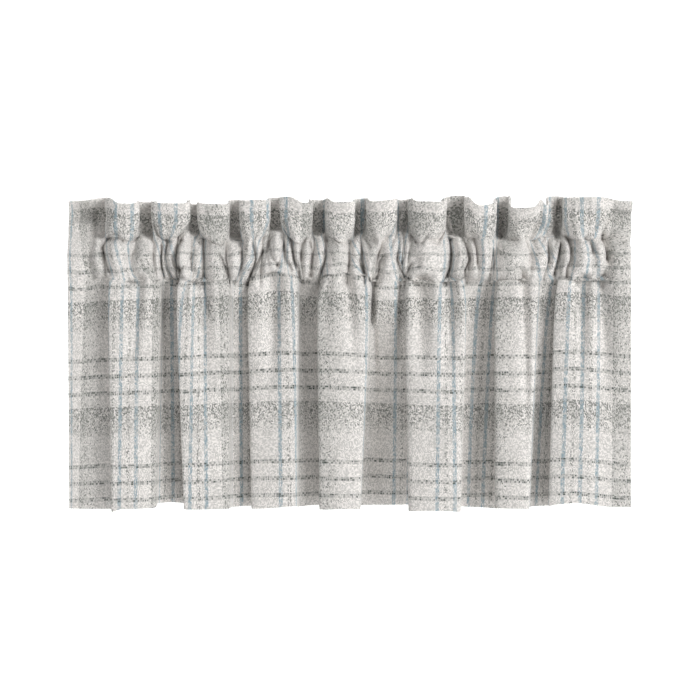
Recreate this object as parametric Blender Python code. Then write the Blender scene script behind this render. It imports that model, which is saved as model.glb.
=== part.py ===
"""Window valance: one width of plaid cloth, gathered along a rod pocket.

The cloth is followed across its cut width by u, from the left edge to the
right one.  Every height of the valance has its own plan curve x(u), y(u):
the header ruffle stands in deep lobes, the rod pocket puffs out between short
creases, and the drop falls in seven main folds.  +X runs along the rod, -Y
faces the room and +Z is up.  The origin is the middle of the header's top.
"""

import bmesh
import bpy
import numpy as np

# Driving sizes, in metres.
FLAT_WIDTH = 1.530          # cut width of the cloth between its side hems
HUNG_WIDTH = 0.660          # width of the gathered valance
DROP = 0.360                # header top to hem
HEADER_HEIGHT = 0.045       # ruffle above the rod pocket
POCKET_HEIGHT = 0.047       # between the two rows of stitching
CLOTH = 0.0016              # thickness of one layer
POCKET_HALF_DEPTH = 0.0115  # rod axis to the middle of a pocket wall, at a crease
PIECE_GAP = 0.0003          # between the heading and the panel

# How finely the cloth is divided, and how far its corners are rounded.
COLUMNS = 168
FINE_STEPS = 1530
HEADER_ROUNDING = 0.0060
POCKET_ROUNDING = 0.0050
BODY_ROUNDING = 0.0060
LINE_ROUNDING = 0.0300

HEADER_STITCH_Z = -HEADER_HEIGHT
POCKET_STITCH_Z = -HEADER_HEIGHT - POCKET_HEIGHT

# Header lobes, left to right, in millimetres:
# left edge, right edge, cloth position of the middle, front y, top z.
LOBES = [
    (-285.8, -244.7, 118.0, -23.0, -4.0),
    (-231.8, -184.8, 247.0, -25.0, -3.5),
    (-177.8, -139.0, 405.0, -24.0, -5.5),
    (-129.6, -92.0, 484.0, -20.0, 0.0),
    (-81.4, -42.6, 635.5, -24.0, -2.0),
    (-28.5, 6.7, 807.0, -23.0, -2.0),
    (19.6, 56.0, 930.0, -22.0, -1.5),
    (69.0, 113.6, 1038.5, -24.0, -2.0),
    (133.6, 172.4, 1192.0, -25.0, -5.5),
    (185.3, 234.6, 1302.5, -26.0, -9.0),
    (249.9, 300.4, 1468.5, -22.0, 4.0),
]

# Header recesses, left to right, in millimetres:
# left edge, right edge, cloth position of the middle, back y, top z.
RECESSES = [
    (-304.0, -284.0, 62.5, 9.0, 4.5),
    (-250.0, -227.0, 180.0, 11.0, 0.0),
    (-192.0, -174.0, 328.0, 12.0, -3.0),
    (-144.0, -126.0, 445.0, 8.0, 2.0),
    (-97.0, -78.0, 558.0, 12.0, 4.5),
    (-48.0, -25.0, 722.0, 12.0, 0.5),
    (4.0, 23.0, 868.5, 10.0, 2.5),
    (54.0, 72.0, 980.5, 9.0, 1.5),
    (108.0, 138.0, 1116.0, 12.0, 8.0),
    (169.0, 192.0, 1245.0, 9.0, 6.5),
    (232.0, 256.0, 1385.0, 8.0, 5.0),
]

# Creases of the rod pocket's front, left to right, in millimetres:
# x of the crease, and how far the puff to its right stands out.
POCKET_CREASES = [
    (-302.0, 10.0),
    (-286.0, 15.0),
    (-256.0, 12.0),
    (-228.0, 10.0),
    (-213.0, 15.0),
    (-186.0, 9.0),
    (-171.5, 15.0),
    (-143.5, 14.0),
    (-124.5, 12.0),
    (-109.0, 9.0),
    (-96.0, 12.0),
    (-76.0, 9.0),
    (-62.0, 12.0),
    (-44.0, 11.0),
    (-28.5, 16.0),
    (0.0, 9.0),
    (15.5, 13.0),
    (35.0, 14.0),
    (58.0, 10.0),
    (72.0, 17.0),
    (119.0, 14.0),
    (141.0, 11.0),
    (170.0, 16.0),
    (212.0, 12.0),
    (234.0, 10.0),
    (247.0, 11.0),
    (261.0, 13.0),
    (283.0, 12.0),
    (303.0, 8.0),
]

# Folds of the drop, left to right, in millimetres: left and right edge below
# the pocket, left and right edge at the hem, cloth position of the middle,
# front y below the pocket and at the hem.
FOLDS = [
    (-282.5, -219.3, -280.2, -226.3, 126.0, -22.0, -37.0),
    (-202.9, -137.9, -195.9, -136.7, 374.0, -24.0, -40.0),
    (-120.9, -58.3, -115.7, -61.2, 575.5, -23.0, -38.0),
    (-38.4, 25.4, -36.1, 12.5, 800.0, -24.0, -40.0),
    (63.5, 137.8, 67.0, 130.2, 1071.0, -26.0, -43.0),
    (168.8, 222.1, 170.6, 215.1, 1296.0, -23.0, -39.0),
    (236.1, 292.9, 236.7, 292.3, 1456.0, -21.0, -32.0),
]

# Valleys of the drop, left to right, in millimetres: left and right edge
# below the pocket, left and right edge at the hem, cloth position of the
# middle, back y below the pocket and at the hem.
VALLEYS = [
    (-300.0, -274.0, -300.0, -272.0, 68.0, 6.0, 8.0),
    (-224.0, -194.0, -231.0, -187.0, 226.5, 8.0, 14.0),
    (-143.0, -112.0, -142.0, -106.0, 478.0, 8.0, 14.0),
    (-64.0, -30.0, -66.0, -27.0, 685.5, 8.0, 15.0),
    (20.0, 72.0, 7.0, 75.0, 940.0, 8.0, 15.0),
    (133.0, 177.0, 125.0, 179.0, 1208.0, 8.0, 14.0),
    (217.0, 243.0, 210.0, 244.0, 1350.0, 7.0, 12.0),
]

END_Y = -5.0                # y of both side hems, in millimetres
LOBE_CROWN = 4.0            # how far a lobe's middle stands in front of its edges
FOLD_CROWN = 5.0            # the same for a fold of the drop
RECESS_CLOTH = 0.6          # cloth along a recess's back, as a share of its width
VALLEY_CLOTH = 0.7          # the same for a valley of the drop
PUFF_SIDE_CLOTH = 0.28      # share of a puff's cloth that makes each of its sides
PUFF_SIDE_WIDTH = 0.10      # share of a puff's width that each side takes
BACK_PUFF = 0.7             # puffs of the pocket's back, as a share of the front's
STITCH_SHIFT = 0.35         # how far the header's stitching moves towards the pocket's creases
STITCH_RIPPLE = 0.45        # depth of the ripples there, as a share of the puffs
LOWER_RIPPLE = 0.35         # the same for the pocket's lower stitching
SHOULDER = 0.022            # height over which the drop's folds open, in metres

# Heights of the heading's rows: header first, then the pocket's walls.
HEADER_ROWS = [0.0, -0.015, -0.031, HEADER_STITCH_Z]
HEADER_DEPTH_LEFT = [1.0, 0.92, 0.72, 0.30]
WALL_ROWS = [-0.053, -0.0685, -0.084]
WALL_SWELL = [0.85, 1.0, 0.85]
PANEL_ROWS = [0.0, 0.012, 0.035, 0.070, 0.120, 0.180, 0.230, None]

CLOTH_COLOUR = (0.73, 0.71, 0.67, 1.0)
HEADING_COLOUR = (0.69, 0.68, 0.64, 1.0)


def millimetres(value):
    return value / 1000.0


def rounded(values, width):
    """A run of values over the fine steps, averaged so that its corners are round."""
    step = FLAT_WIDTH / FINE_STEPS
    reach = int(round(3.0 * width / step))
    offsets = np.arange(-reach, reach + 1) * step
    weights = np.exp(-0.5 * (offsets / width) ** 2)
    weights /= weights.sum()
    left = 2.0 * values[0] - values[reach:0:-1]
    right = 2.0 * values[-1] - values[-2:-reach - 2:-1]
    padded = np.concatenate([left, values, right])
    return np.convolve(padded, weights, mode="valid")


def fine_curve(points, width):
    """x and y over the fine steps, through points of (u, x, y) in millimetres."""
    ordered = sorted(points)
    u_points = [millimetres(point[0]) for point in ordered]
    fine_u = np.linspace(0.0, FLAT_WIDTH, FINE_STEPS + 1)
    x_line = np.interp(fine_u, u_points, [millimetres(point[1]) for point in ordered])
    y_line = np.interp(fine_u, u_points, [millimetres(point[2]) for point in ordered])
    return np.stack([rounded(x_line, width), rounded(y_line, width)], axis=1)


def crowned_front(left, right, middle_u, front_y, crown):
    """Points across the front of one fold or lobe."""
    half = 0.5 * (right - left)
    centre = 0.5 * (left + right)
    return [
        (middle_u - half, left, front_y + crown),
        (middle_u - 0.5 * half, centre - 0.5 * half, front_y),
        (middle_u + 0.5 * half, centre + 0.5 * half, front_y),
        (middle_u + half, right, front_y + crown),
    ]


def side_hem_points():
    half = 500.0 * HUNG_WIDTH
    return [(0.0, -half, END_Y), (1000.0 * FLAT_WIDTH, half, END_Y)]


def header_curve():
    """Plan curve of the header's top: lobes to the front, recesses to the back."""
    points = side_hem_points()
    for left, right, middle_u, front_y, _top in LOBES:
        points += crowned_front(left, right, middle_u, front_y, LOBE_CROWN)
    for left, right, middle_u, back_y, _top in RECESSES:
        reach = 0.5 * RECESS_CLOTH * (right - left)
        points += [(middle_u - reach, left, back_y), (middle_u + reach, right, back_y)]
    return fine_curve(points, HEADER_ROUNDING)


def header_top():
    """Height of the header's uneven top edge over the fine steps."""
    points = [(0.0, -1.0)]
    for _left, _right, middle_u, _depth, top in LOBES + RECESSES:
        points.append((middle_u, top))
    points.append((1000.0 * FLAT_WIDTH, -1.0))
    ordered = sorted(points)
    fine_u = np.linspace(0.0, FLAT_WIDTH, FINE_STEPS + 1)
    u_points = [millimetres(point[0]) for point in ordered]
    heights = np.interp(fine_u, u_points, [millimetres(point[1]) for point in ordered])
    return rounded(heights, HEADER_ROUNDING)


def body_curve(fall):
    """Plan curve of the drop: fall is 0 at the pocket and 1 at the hem."""
    points = side_hem_points()
    for top_left, top_right, hem_left, hem_right, middle_u, top_y, hem_y in FOLDS:
        left = top_left + fall * (hem_left - top_left)
        right = top_right + fall * (hem_right - top_right)
        front_y = top_y + fall * (hem_y - top_y)
        points += crowned_front(left, right, middle_u, front_y, FOLD_CROWN)
    for top_left, top_right, hem_left, hem_right, middle_u, top_y, hem_y in VALLEYS:
        left = top_left + fall * (hem_left - top_left)
        right = top_right + fall * (hem_right - top_right)
        back_y = top_y + fall * (hem_y - top_y)
        reach = 0.5 * VALLEY_CLOTH * (right - left)
        points += [(middle_u - reach, left, back_y), (middle_u + reach, right, back_y)]
    return fine_curve(points, BODY_ROUNDING)


def line_of_cloth():
    """Where each part of the cloth lies along the rod, with no folds at all."""
    along = 0.5 * (header_curve()[:, 0] + body_curve(0.0)[:, 0])
    return rounded(along, LINE_ROUNDING)


def pocket_curve():
    """Plan curve of the pocket's front wall, puffed out between its creases."""
    along = line_of_cloth()
    fine_u = np.linspace(0.0, 1000.0 * FLAT_WIDTH, FINE_STEPS + 1)
    inner = -1000.0 * POCKET_HALF_DEPTH
    half = 500.0 * HUNG_WIDTH
    creases = [(-half, 6.0)] + POCKET_CREASES + [(half, 0.0)]
    points = []
    for (left, swell), (right, _next_swell) in zip(creases[:-1], creases[1:]):
        left_u = float(np.interp(millimetres(left), along, fine_u))
        right_u = float(np.interp(millimetres(right), along, fine_u))
        width = right - left
        span = right_u - left_u
        points.append((left_u, left, inner))
        turn = PUFF_SIDE_CLOTH * span
        inset = PUFF_SIDE_WIDTH * width
        points.append((left_u + turn, left + inset, inner - swell))
        points.append((right_u - turn, right - inset, inner - swell))
    points.append((1000.0 * FLAT_WIDTH, half, inner))
    return fine_curve(points, POCKET_ROUNDING)


def at_columns(fine_values):
    """Values over the fine steps, read at the columns of the mesh."""
    fine_u = np.linspace(0.0, 1.0, FINE_STEPS + 1)
    columns = np.linspace(0.0, 1.0, COLUMNS + 1)
    if fine_values.ndim == 1:
        return np.interp(columns, fine_u, fine_values)
    return np.stack([np.interp(columns, fine_u, fine_values[:, axis]) for axis in (0, 1)], axis=1)


def across(curve):
    """Unit directions across a plan curve, pointing to the back of the cloth."""
    along = np.gradient(curve, axis=0)
    along /= np.linalg.norm(along, axis=1)[:, None]
    normals = np.stack([-along[:, 1], along[:, 0]], axis=1)
    normals[0] = (0.0, 1.0)
    normals[-1] = (0.0, 1.0)
    return normals


def row_points(curve, height):
    """3-D points of one row; height is one number or one for each column."""
    heights = np.full(len(curve), height) if np.isscalar(height) else height
    return np.column_stack([curve, heights])


def header_middle(depth_left):
    """Plan curve of the header where its lobes keep depth_left of their depth."""
    header = at_columns(header_curve())
    pocket = at_columns(pocket_curve())
    pinch = 1.0 - depth_left
    x = header[:, 0] + STITCH_SHIFT * pinch * (pocket[:, 0] - header[:, 0])
    ripple = STITCH_RIPPLE * (pocket[:, 1] + POCKET_HALF_DEPTH)
    y = depth_left * header[:, 1] + pinch * ripple
    return np.stack([x, y], axis=1)


def lower_stitch():
    """Plan curve of the stitching below the pocket."""
    pocket = at_columns(pocket_curve())
    body = at_columns(body_curve(0.0))
    x = 0.5 * (pocket[:, 0] + body[:, 0])
    y = LOWER_RIPPLE * (body[:, 1] + pocket[:, 1] + POCKET_HALF_DEPTH)
    return np.stack([x, y], axis=1)


def wall_middle(side, swell):
    """Plan curve of one pocket wall; side is -1 for the front, 1 for the back."""
    pocket = at_columns(pocket_curve())
    puff = -POCKET_HALF_DEPTH - pocket[:, 1]
    reach = POCKET_HALF_DEPTH + swell * puff * (1.0 if side < 0 else BACK_PUFF)
    return np.stack([pocket[:, 0], side * reach], axis=1)


def cloth_material(name, colour):
    material = bpy.data.materials.new(name)
    material.use_nodes = True
    shader = material.node_tree.nodes["Principled BSDF"]
    shader.inputs["Base Color"].default_value = colour
    shader.inputs["Roughness"].default_value = 0.9
    shader.inputs["Metallic"].default_value = 0.0
    return material


def add_object(name, mesh, material):
    bmesh.ops.recalc_face_normals(mesh, faces=mesh.faces)
    data = bpy.data.meshes.new(name)
    mesh.to_mesh(data)
    mesh.free()
    data.materials.append(material)
    data.shade_smooth()
    item = bpy.data.objects.new(name, data)
    bpy.context.scene.collection.objects.link(item)
    return item


def add_rows(mesh, rows):
    """Vertices of each row, as a list of lists."""
    return [[mesh.verts.new(point) for point in row] for row in rows]


def join_rows(mesh, first, second):
    """A band of faces between two rows of the same length."""
    for index in range(len(first) - 1):
        mesh.faces.new((first[index], first[index + 1], second[index + 1], second[index]))


def close_end(mesh, outer_front, outer_back, inner_front, inner_back, crown, sole):
    """The end of the heading at one side hem, with the pocket's mouth left open."""
    header_rows = len(HEADER_ROWS)
    for row in range(header_rows - 1):
        mesh.faces.new((outer_front[row], outer_front[row + 1], outer_back[row + 1], outer_back[row]))
    stitch = header_rows - 1
    mesh.faces.new((outer_front[stitch], crown, outer_back[stitch]))
    for outer, inner in ((outer_front, inner_front), (outer_back, inner_back)):
        channel = [crown] + inner + [sole]
        for step in range(len(channel) - 1):
            mesh.faces.new((outer[stitch + step], outer[stitch + step + 1], channel[step + 1], channel[step]))
    mesh.faces.new((outer_front[-1], outer_back[-1], sole))


def build_heading():
    """Header ruffle and rod pocket: two layers of cloth with an open channel."""
    top_edge = at_columns(header_top())
    front = []
    back = []
    for height, depth_left in zip(HEADER_ROWS, HEADER_DEPTH_LEFT):
        middle = header_middle(depth_left)
        offset = CLOTH * across(middle)
        heights = height + top_edge * (1.0 - height / HEADER_STITCH_Z)
        front.append(row_points(middle - offset, heights))
        back.append(row_points(middle + offset, heights))
    inner_front = []
    inner_back = []
    for height, swell in zip(WALL_ROWS, WALL_SWELL):
        for side, outer, inner in ((-1, front, inner_front), (1, back, inner_back)):
            middle = wall_middle(side, swell)
            offset = 0.5 * CLOTH * across(middle)
            outer.append(row_points(middle + side * offset, height))
            inner.append(row_points(middle - side * offset, height))
    stitch = lower_stitch()
    offset = CLOTH * across(stitch)
    front.append(row_points(stitch - offset, POCKET_STITCH_Z))
    back.append(row_points(stitch + offset, POCKET_STITCH_Z))
    crown = row_points(header_middle(HEADER_DEPTH_LEFT[-1]), HEADER_STITCH_Z - 2.0 * CLOTH)
    sole = row_points(stitch, POCKET_STITCH_Z + 2.0 * CLOTH)

    mesh = bmesh.new()
    front_rows = add_rows(mesh, front)
    back_rows = add_rows(mesh, back)
    inner_front_rows = add_rows(mesh, inner_front)
    inner_back_rows = add_rows(mesh, inner_back)
    crown_row = add_rows(mesh, [crown])[0]
    sole_row = add_rows(mesh, [sole])[0]
    for rows in (front_rows, back_rows):
        for upper, lower in zip(rows[:-1], rows[1:]):
            join_rows(mesh, upper, lower)
    join_rows(mesh, front_rows[0], back_rows[0])
    join_rows(mesh, front_rows[-1], back_rows[-1])
    for rows in (inner_front_rows, inner_back_rows):
        channel = [crown_row] + rows + [sole_row]
        for upper, lower in zip(channel[:-1], channel[1:]):
            join_rows(mesh, upper, lower)
    for column in (0, COLUMNS):
        close_end(
            mesh,
            [row[column] for row in front_rows],
            [row[column] for row in back_rows],
            [row[column] for row in inner_front_rows],
            [row[column] for row in inner_back_rows],
            crown_row[column],
            sole_row[column],
        )
    return add_object("heading", mesh, cloth_material("heading cloth", HEADING_COLOUR))


def build_panel():
    """The drop: one layer of cloth from the pocket's stitching to the hem."""
    stitch = lower_stitch()
    top_z = POCKET_STITCH_Z - PIECE_GAP
    drop = DROP - HEADER_HEIGHT - POCKET_HEIGHT - PIECE_GAP
    front = []
    back = []
    for depth in PANEL_ROWS:
        below = drop if depth is None else depth
        fall = below / drop
        body = at_columns(body_curve(fall))
        hold = np.exp(-below / SHOULDER)
        middle = body + hold * (stitch - body)
        offset = 0.5 * CLOTH * across(middle)
        front.append(row_points(middle - offset, top_z - below))
        back.append(row_points(middle + offset, top_z - below))
    mesh = bmesh.new()
    front_rows = add_rows(mesh, front)
    back_rows = add_rows(mesh, back)
    for rows in (front_rows, back_rows):
        for upper, lower in zip(rows[:-1], rows[1:]):
            join_rows(mesh, upper, lower)
    join_rows(mesh, front_rows[0], back_rows[0])
    join_rows(mesh, front_rows[-1], back_rows[-1])
    for column in (0, COLUMNS):
        for row in range(len(PANEL_ROWS) - 1):
            mesh.faces.new((
                front_rows[row][column],
                front_rows[row + 1][column],
                back_rows[row + 1][column],
                back_rows[row][column],
            ))
    return add_object("panel", mesh, cloth_material("panel cloth", CLOTH_COLOUR))


def main():
    for item in list(bpy.data.objects):
        bpy.data.objects.remove(item)
    build_heading()
    build_panel()


main()
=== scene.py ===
"""Looks of the window valance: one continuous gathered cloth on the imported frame."""

import math

import bpy
import numpy as np
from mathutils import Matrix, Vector


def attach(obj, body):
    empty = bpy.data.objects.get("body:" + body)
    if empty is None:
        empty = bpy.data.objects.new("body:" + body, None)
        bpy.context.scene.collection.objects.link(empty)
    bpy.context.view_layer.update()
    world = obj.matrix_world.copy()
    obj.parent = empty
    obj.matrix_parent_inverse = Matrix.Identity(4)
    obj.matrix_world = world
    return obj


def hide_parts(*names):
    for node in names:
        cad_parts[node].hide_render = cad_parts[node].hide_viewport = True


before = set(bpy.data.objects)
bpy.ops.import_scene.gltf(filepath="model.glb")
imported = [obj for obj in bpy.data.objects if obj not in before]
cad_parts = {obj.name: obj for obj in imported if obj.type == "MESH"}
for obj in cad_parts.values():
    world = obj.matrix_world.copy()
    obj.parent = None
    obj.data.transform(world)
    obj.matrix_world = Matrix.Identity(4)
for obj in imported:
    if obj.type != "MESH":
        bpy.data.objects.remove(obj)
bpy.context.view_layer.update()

# Sizes in millimetres unless a name or a comment says otherwise.
MM = 0.001
FLAT_WIDTH = 1530.0
HUNG_WIDTH = 660.0
HALF_WIDTH = 0.5 * HUNG_WIDTH
DROP = 360.0
STITCH_Z = -45.0  # the header's stitching
LOWER_Z = -92.0  # the lower stitching
POCKET_HEIGHT = STITCH_Z - LOWER_Z
POCKET_HALF_DEPTH = 11.5
BODY_DROP = DROP + LOWER_Z  # the drop below the pocket
BACK_CLOTH = 1.25  # cloth of the pocket's back wall, as a multiple of its height
LAYER_GAP = 0.9  # half the distance between the header's two layers
HEM_TURN = 24.0  # cloth turned up behind the bottom hem
SIDE_TURN = 12.0  # cloth turned back at each side
HEM_GAP = 1.1  # distance of a turned hem behind the cloth
HEADER_ENDS_Y = (-2.0, -19.0)  # the header's left and right side
LEFT_END_Y = (-10.0, -16.0)  # the drop's left side, below the pocket and at the hem
RIGHT_END_Y = (-14.0, -28.0)

# Fineness of the cloth.
COLUMN_STEP = 2.0
BODY_ROWS = 32  # closest together below the pocket
HEM_ROWS = 3
ROW_STEP_POCKET = 1.2
ROW_STEP_HEADER = 1.25
ROW_STEP_BACK = 6.0
FINE_STEP = 1.0

# Header lobes: left edge, right edge, cloth position of the middle, front y,
# top z at the left and at the right, x where the stitching pinches the lobe,
# how far its foot hangs over, the flat share of the foot, how soon the lobe
# narrows toward it, and the y of the stitching at its middle.
LOBES = [
    (-285.8, -244.7, 118, -23, -4, -4, -264.7, 3, 0.55, 0.35, -13),
    (-231.8, -184.8, 247, -27, -3.5, -4, -213, 5, 0.15, 0.95, -10),
    (-177.8, -139, 405, -24, -4, -5, -156, 12, 0.1, 0.5, -9),
    (-129.6, -92, 484, -20, -0.5, 0.5, -111, 0, 0.4, 0.75, -20),
    (-81.4, -42.6, 635.5, -27, 3, -3, -60, 11, 0.2, 0.6, -9),
    (-28.5, 6.7, 807, -29, -3, -2, -12.5, 10, 0.25, 0.5, -9),
    (19.6, 56, 930, -30, -2, 0.5, 35, 1, 0.2, 0.85, -15),
    (69, 113.6, 1038.5, -31, -1.5, -2, 91, 2, 0.5, 0.4, -16),
    (133.6, 172.4, 1196, -29, -6, -6, 154, 1, 0.4, 0.45, -15),
    (185.3, 234.6, 1307.5, -33, -9.5, -8, 206, 1, 0.45, 0.5, -13),
    (249.9, 300.4, 1472, -28, 3, 3.5, 277, 4, 0.5, 0.4, -10),
]

# How much farther back each lobe's left side stands than its right side.
LOBE_SLOPES = (0, 5, 0, 0, 6, 8, 7, 6, 0, 10, 9)

# Header recesses: left edge, right edge, cloth position of the middle, back y
# at the left and at the right, top z at its left side, in its middle and at
# its right side.
RECESSES = [
    (-304, -284, 62.5, 3, 19, 0, 3, 4),
    (-250, -227, 180, 5, 21, 0, -2.5, 0),
    (-192, -174, 328, 12, 20, 1, -5.5, -2),
    (-144, -126, 445, 19, 21, 0, 1, 0.5),
    (-97, -78, 558, 14, 16, 2, 3.5, 4),
    (-48, -25, 722, 12, 21, 2, 0, 3),
    (4, 23, 868.5, 18, 21, 0.5, 2.5, 3),
    (54, 72, 980.5, 15, 19, 2, 0.5, 2.5),
    (108, 138, 1138, 8, 18, 0, 6, 5),
    (169, 192, 1245, 13, 20, 0.5, 5.5, 3.5),
    (226, 253, 1348.5, -14, 17, -1, 5, 4),
]

# Small lips of the top edge where it turns: cloth position, half width, height.
LIPS = [
    (104, 6.5, 6.5), (140, 5, 2.5), (222, 5, 2), (274, 6, 4), (384, 5, 1.5), (628, 8, 2.5),
    (644, 5, -2), (660, 5, 1.5), (791, 6, 5), (910, 6, 3), (948, 6, 1), (1019, 4, 3.5),
    (1063, 5, 2.5), (1100, 9, 3), (1171, 10, 5.5), (1182, 6, 7.5), (1215, 8, 3), (1274, 8, 9),
    (1320, 4.5, 9), (1340, 6, 2), (1512, 14, -2),
]

# Creases of the pocket's front: x and share of depth at the header's
# stitching, half way down and at the lower stitching, then how far the puff to
# its right stands out and how far that puff leans to the right.
POCKET_CREASES = [
    (-303, 0.9, -302.5, 0.6, -300, 0.3, 11, 0),
    (-291, 0.8, -287, 1, -283.5, 1, 17, -4),
    (-250, 0.9, -254.5, 0.7, -255.5, 0.2, 12, 0),
    (-230.5, 0.9, -229, 0.8, -228, 0.4, 10, 0),
    (-220, 0.6, -221, 0.9, -218.5, 0.8, 9, 1),
    (-215, 1, -214.5, 1, -209.5, 0.9, 12, 2),
    (-200.5, 0.9, -203.5, 1, -202, 1, 17, -3),
    (-186, 0.8, -185, 0.7, -184, 0.3, 10, 0),
    (-171.5, 1, -171, 1, -171, 0.8, 16, 2),
    (-145, 0.8, -144, 1, -139, 1, 14, 0),
    (-127, 1, -124.5, 0.8, -129, 0.6, 12, -1),
    (-111, 0.8, -109.5, 1, -119, 1, 10, 0),
    (-101, 0.8, -102, 0.8, -105, 0.5, 10, 0),
    (-94, 1, -96, 0.6, -92, 0.2, 12, 0),
    (-76.5, 1, -76, 0.8, -72, 0.2, 10, 0),
    (-68, 0.9, -65, 1, -60, 1, 11, 1),
    (-55, 0.8, -57, 0.7, -54, 0.6, 10, 0),
    (-46, 0.8, -43, 1, -44, 1, 11, 1),
    (-28, 1, -28, 1, -35.5, 1, 17, -2),
    (0.5, 0.9, 1, 0.7, -4, 0.7, 11, 0),
    (14, 1, 15, 0.9, 18, 0.7, 14, 1),
    (38, 0.6, 33, 0.9, 29, 1, 12, 0),
    (57, 0.9, 56, 0.9, 61, 0.6, 10, 0),
    (64.5, 1, 62, 0.8, 64, 1, 9, -1),
    (73, 0.9, 69, 0.8, 73, 0.5, 18, -1),
    (119, 1, 120, 1, 115, 0.8, 14, 0),
    (138, 0.8, 142, 1, 138.5, 1, 10, 0),
    (149, 0.9, 151, 0.5, 152, 0.4, 15, 1),
    (173, 1, 170, 1, 168.5, 1, 17, -2),
    (211, 0.8, 214, 0.8, 210, 0.3, 11, 0),
    (234, 1, 234.5, 1, 226, 0.9, 10, 0),
    (248, 0.9, 246.5, 1, 242, 0.9, 12, -1),
    (261, 1, 262, 1, 258, 0.5, 14, -1),
    (283, 0.8, 287, 0.6, 284, 0.3, 11, 0),
    (301, 0.9, 304, 1, 303, 0.8, 9, 0),
]

# Folds of the drop: left and right edge below the pocket, left and right edge
# at the hem, cloth position of the middle, front y below the pocket and at the
# hem, how much farther back the left side stands, and each edge's roll back.
FOLDS = [
    (-285, -219.3, -281, -226.3, 126, -22, -37, -4, 2, 7),
    (-203.5, -139.5, -193.5, -139.7, 374, -24, -40, -5, 2, 4),
    (-121.5, -60, -116.2, -61.2, 575.5, -23, -38, 10, 2, 4),
    (-39.5, 27, -36, 13, 800, -24, -40, 5, 3, 5),
    (63, 137.8, 68.5, 130.2, 1071, -26, -43, 9, 4, 5),
    (168.3, 224.5, 169.6, 212, 1296, -23, -39, 9, 2, 3),
    (240.5, 292.9, 233.5, 292.3, 1456, -21, -32, 7, 4, 4),
]

# Valleys of the drop: left and right edge below the pocket, left and right
# edge at the hem, cloth position of the middle, y of the left and of the right
# side below the pocket, and the same at the hem.
VALLEYS = [
    (-300, -274, -312, -272, 68, -6, -4, -16, -13),
    (-219, -194, -224, -187, 231, 0, 6, -22, 5),
    (-137, -112, -138, -106, 484, -2, 5, -10, 4),
    (-58, -30, -59, -27, 685.5, 12, 17, -12, 5),
    (27, 76, 14, 75, 946, -11, -7, 27, 30),
    (138, 177, 131, 179, 1210, 6, 17, 12, 18),
    (222, 247, 213, 243, 1341, -2, 11, 8, 17),
]

# Soft troughs that run down from the pocket and fade out: x at the pocket and
# at the foot, z of the foot, depth at the pocket, reach to the left and right.
TROUGHS = [
    (-246, -257, -240, 10, 9, 7),
    (-178, -166, -260, 14, 5, 13),
    (-88, -93, -250, 14, 9, 8),
    (-25.5, -28, -190, 4, 6, 6),
    (-2, 8, -215, 10, 7, 7),
    (26, 34, -270, 11, 3, 3.5),
    (60, 60, -240, 12, 2.5, 2.5),
    (84, 84, -240, 15, 9, 10),
    (118, 115, -240, 14, 8, 7),
    (204.5, 209, -360, 8, 5, 5),
    (273, 270, -240, 15, 8, 8),
    (296, 303, -275, 16, 9, 9),
]

# How far the plaid shifts sideways: cloth position, shift below the pocket and at the hem.
PLAID_SHIFT = [
    (0, 0, 0), (12, 0, 0), (45, -17, -5), (111, -3, 0), (130.5, -1, 0), (215, 7, 6), (250, 7, 6),
    (350, -20, 3), (377, 2, 2.5), (484, 0.5, 3), (560, 0, 1), (585, 1, 1), (605, 8, -1),
    (800, 0, 0), (832, 8, 0), (915, 0, 0), (954, 9, -1), (1078, 0, 4.5), (1097, 11, 2),
    (1210, -8, 7), (1296, 0, 0), (1341, -3, 11), (1448, 0, 5.5), (1467, 2.5, 4.5), (1487, 4, 4.5),
    (1520, 0, 0),
]

# How far the plaid is drawn up: cloth position, rise below the pocket and at the hem.
PLAID_RISE = [
    (30, 0, -2.5), (126, 5, 1.5), (226.5, 4.5, 1.5), (345, 6, 2.5), (400, 9.5, 5), (478, 7, 1.5),
    (555, 9.5, 5.5), (600, 13, 7), (685.5, 8, 3.5), (780, 12, 6), (820, 9, 6), (940, 2.5, 1),
    (1050, 7, 2.5), (1095, 5, 2.5), (1208, 6, -0.5), (1296, 7.5, 4), (1350, 7, 0.5),
    (1456, 14, 8.5), (1510, 8, 2),
]

# How far the header's stitching is drawn up: cloth position, rise.
STITCH_RISE = [
    (96, 0), (108, 3), (120, -1), (132, -4), (144, 2), (160, 4), (200, -4), (247, 0), (310, 7),
    (350, 0), (405, 0), (445, -4), (484, 0), (530, 4), (558, 8), (590, 6), (635, 0), (700, -1),
    (745, 7), (807, 0), (850, -3), (868, 5), (892, -2), (930, 0), (965, 4), (980, 8), (1000, 5),
    (1038, 0), (1110, -1), (1138, 2), (1196, 0), (1245, -2), (1282, -2), (1305, 3), (1328, -3),
    (1350, 3), (1400, -3), (1472, 0),
]

# The same at the lower stitching.
LOWER_RISE = [
    (0, 0), (60, 1), (126, -3), (200, 1), (240, -1), (300, 2), (374, -3), (430, 1), (484, -4),
    (540, 1), (575, 8), (640, -1), (685, -3), (740, 1), (800, 8), (870, -2), (946, -3), (1010, 1),
    (1071, -4), (1140, 2), (1210, -3), (1296, -1), (1341, -3), (1400, 2), (1456, -2), (1530, 0),
]

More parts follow.
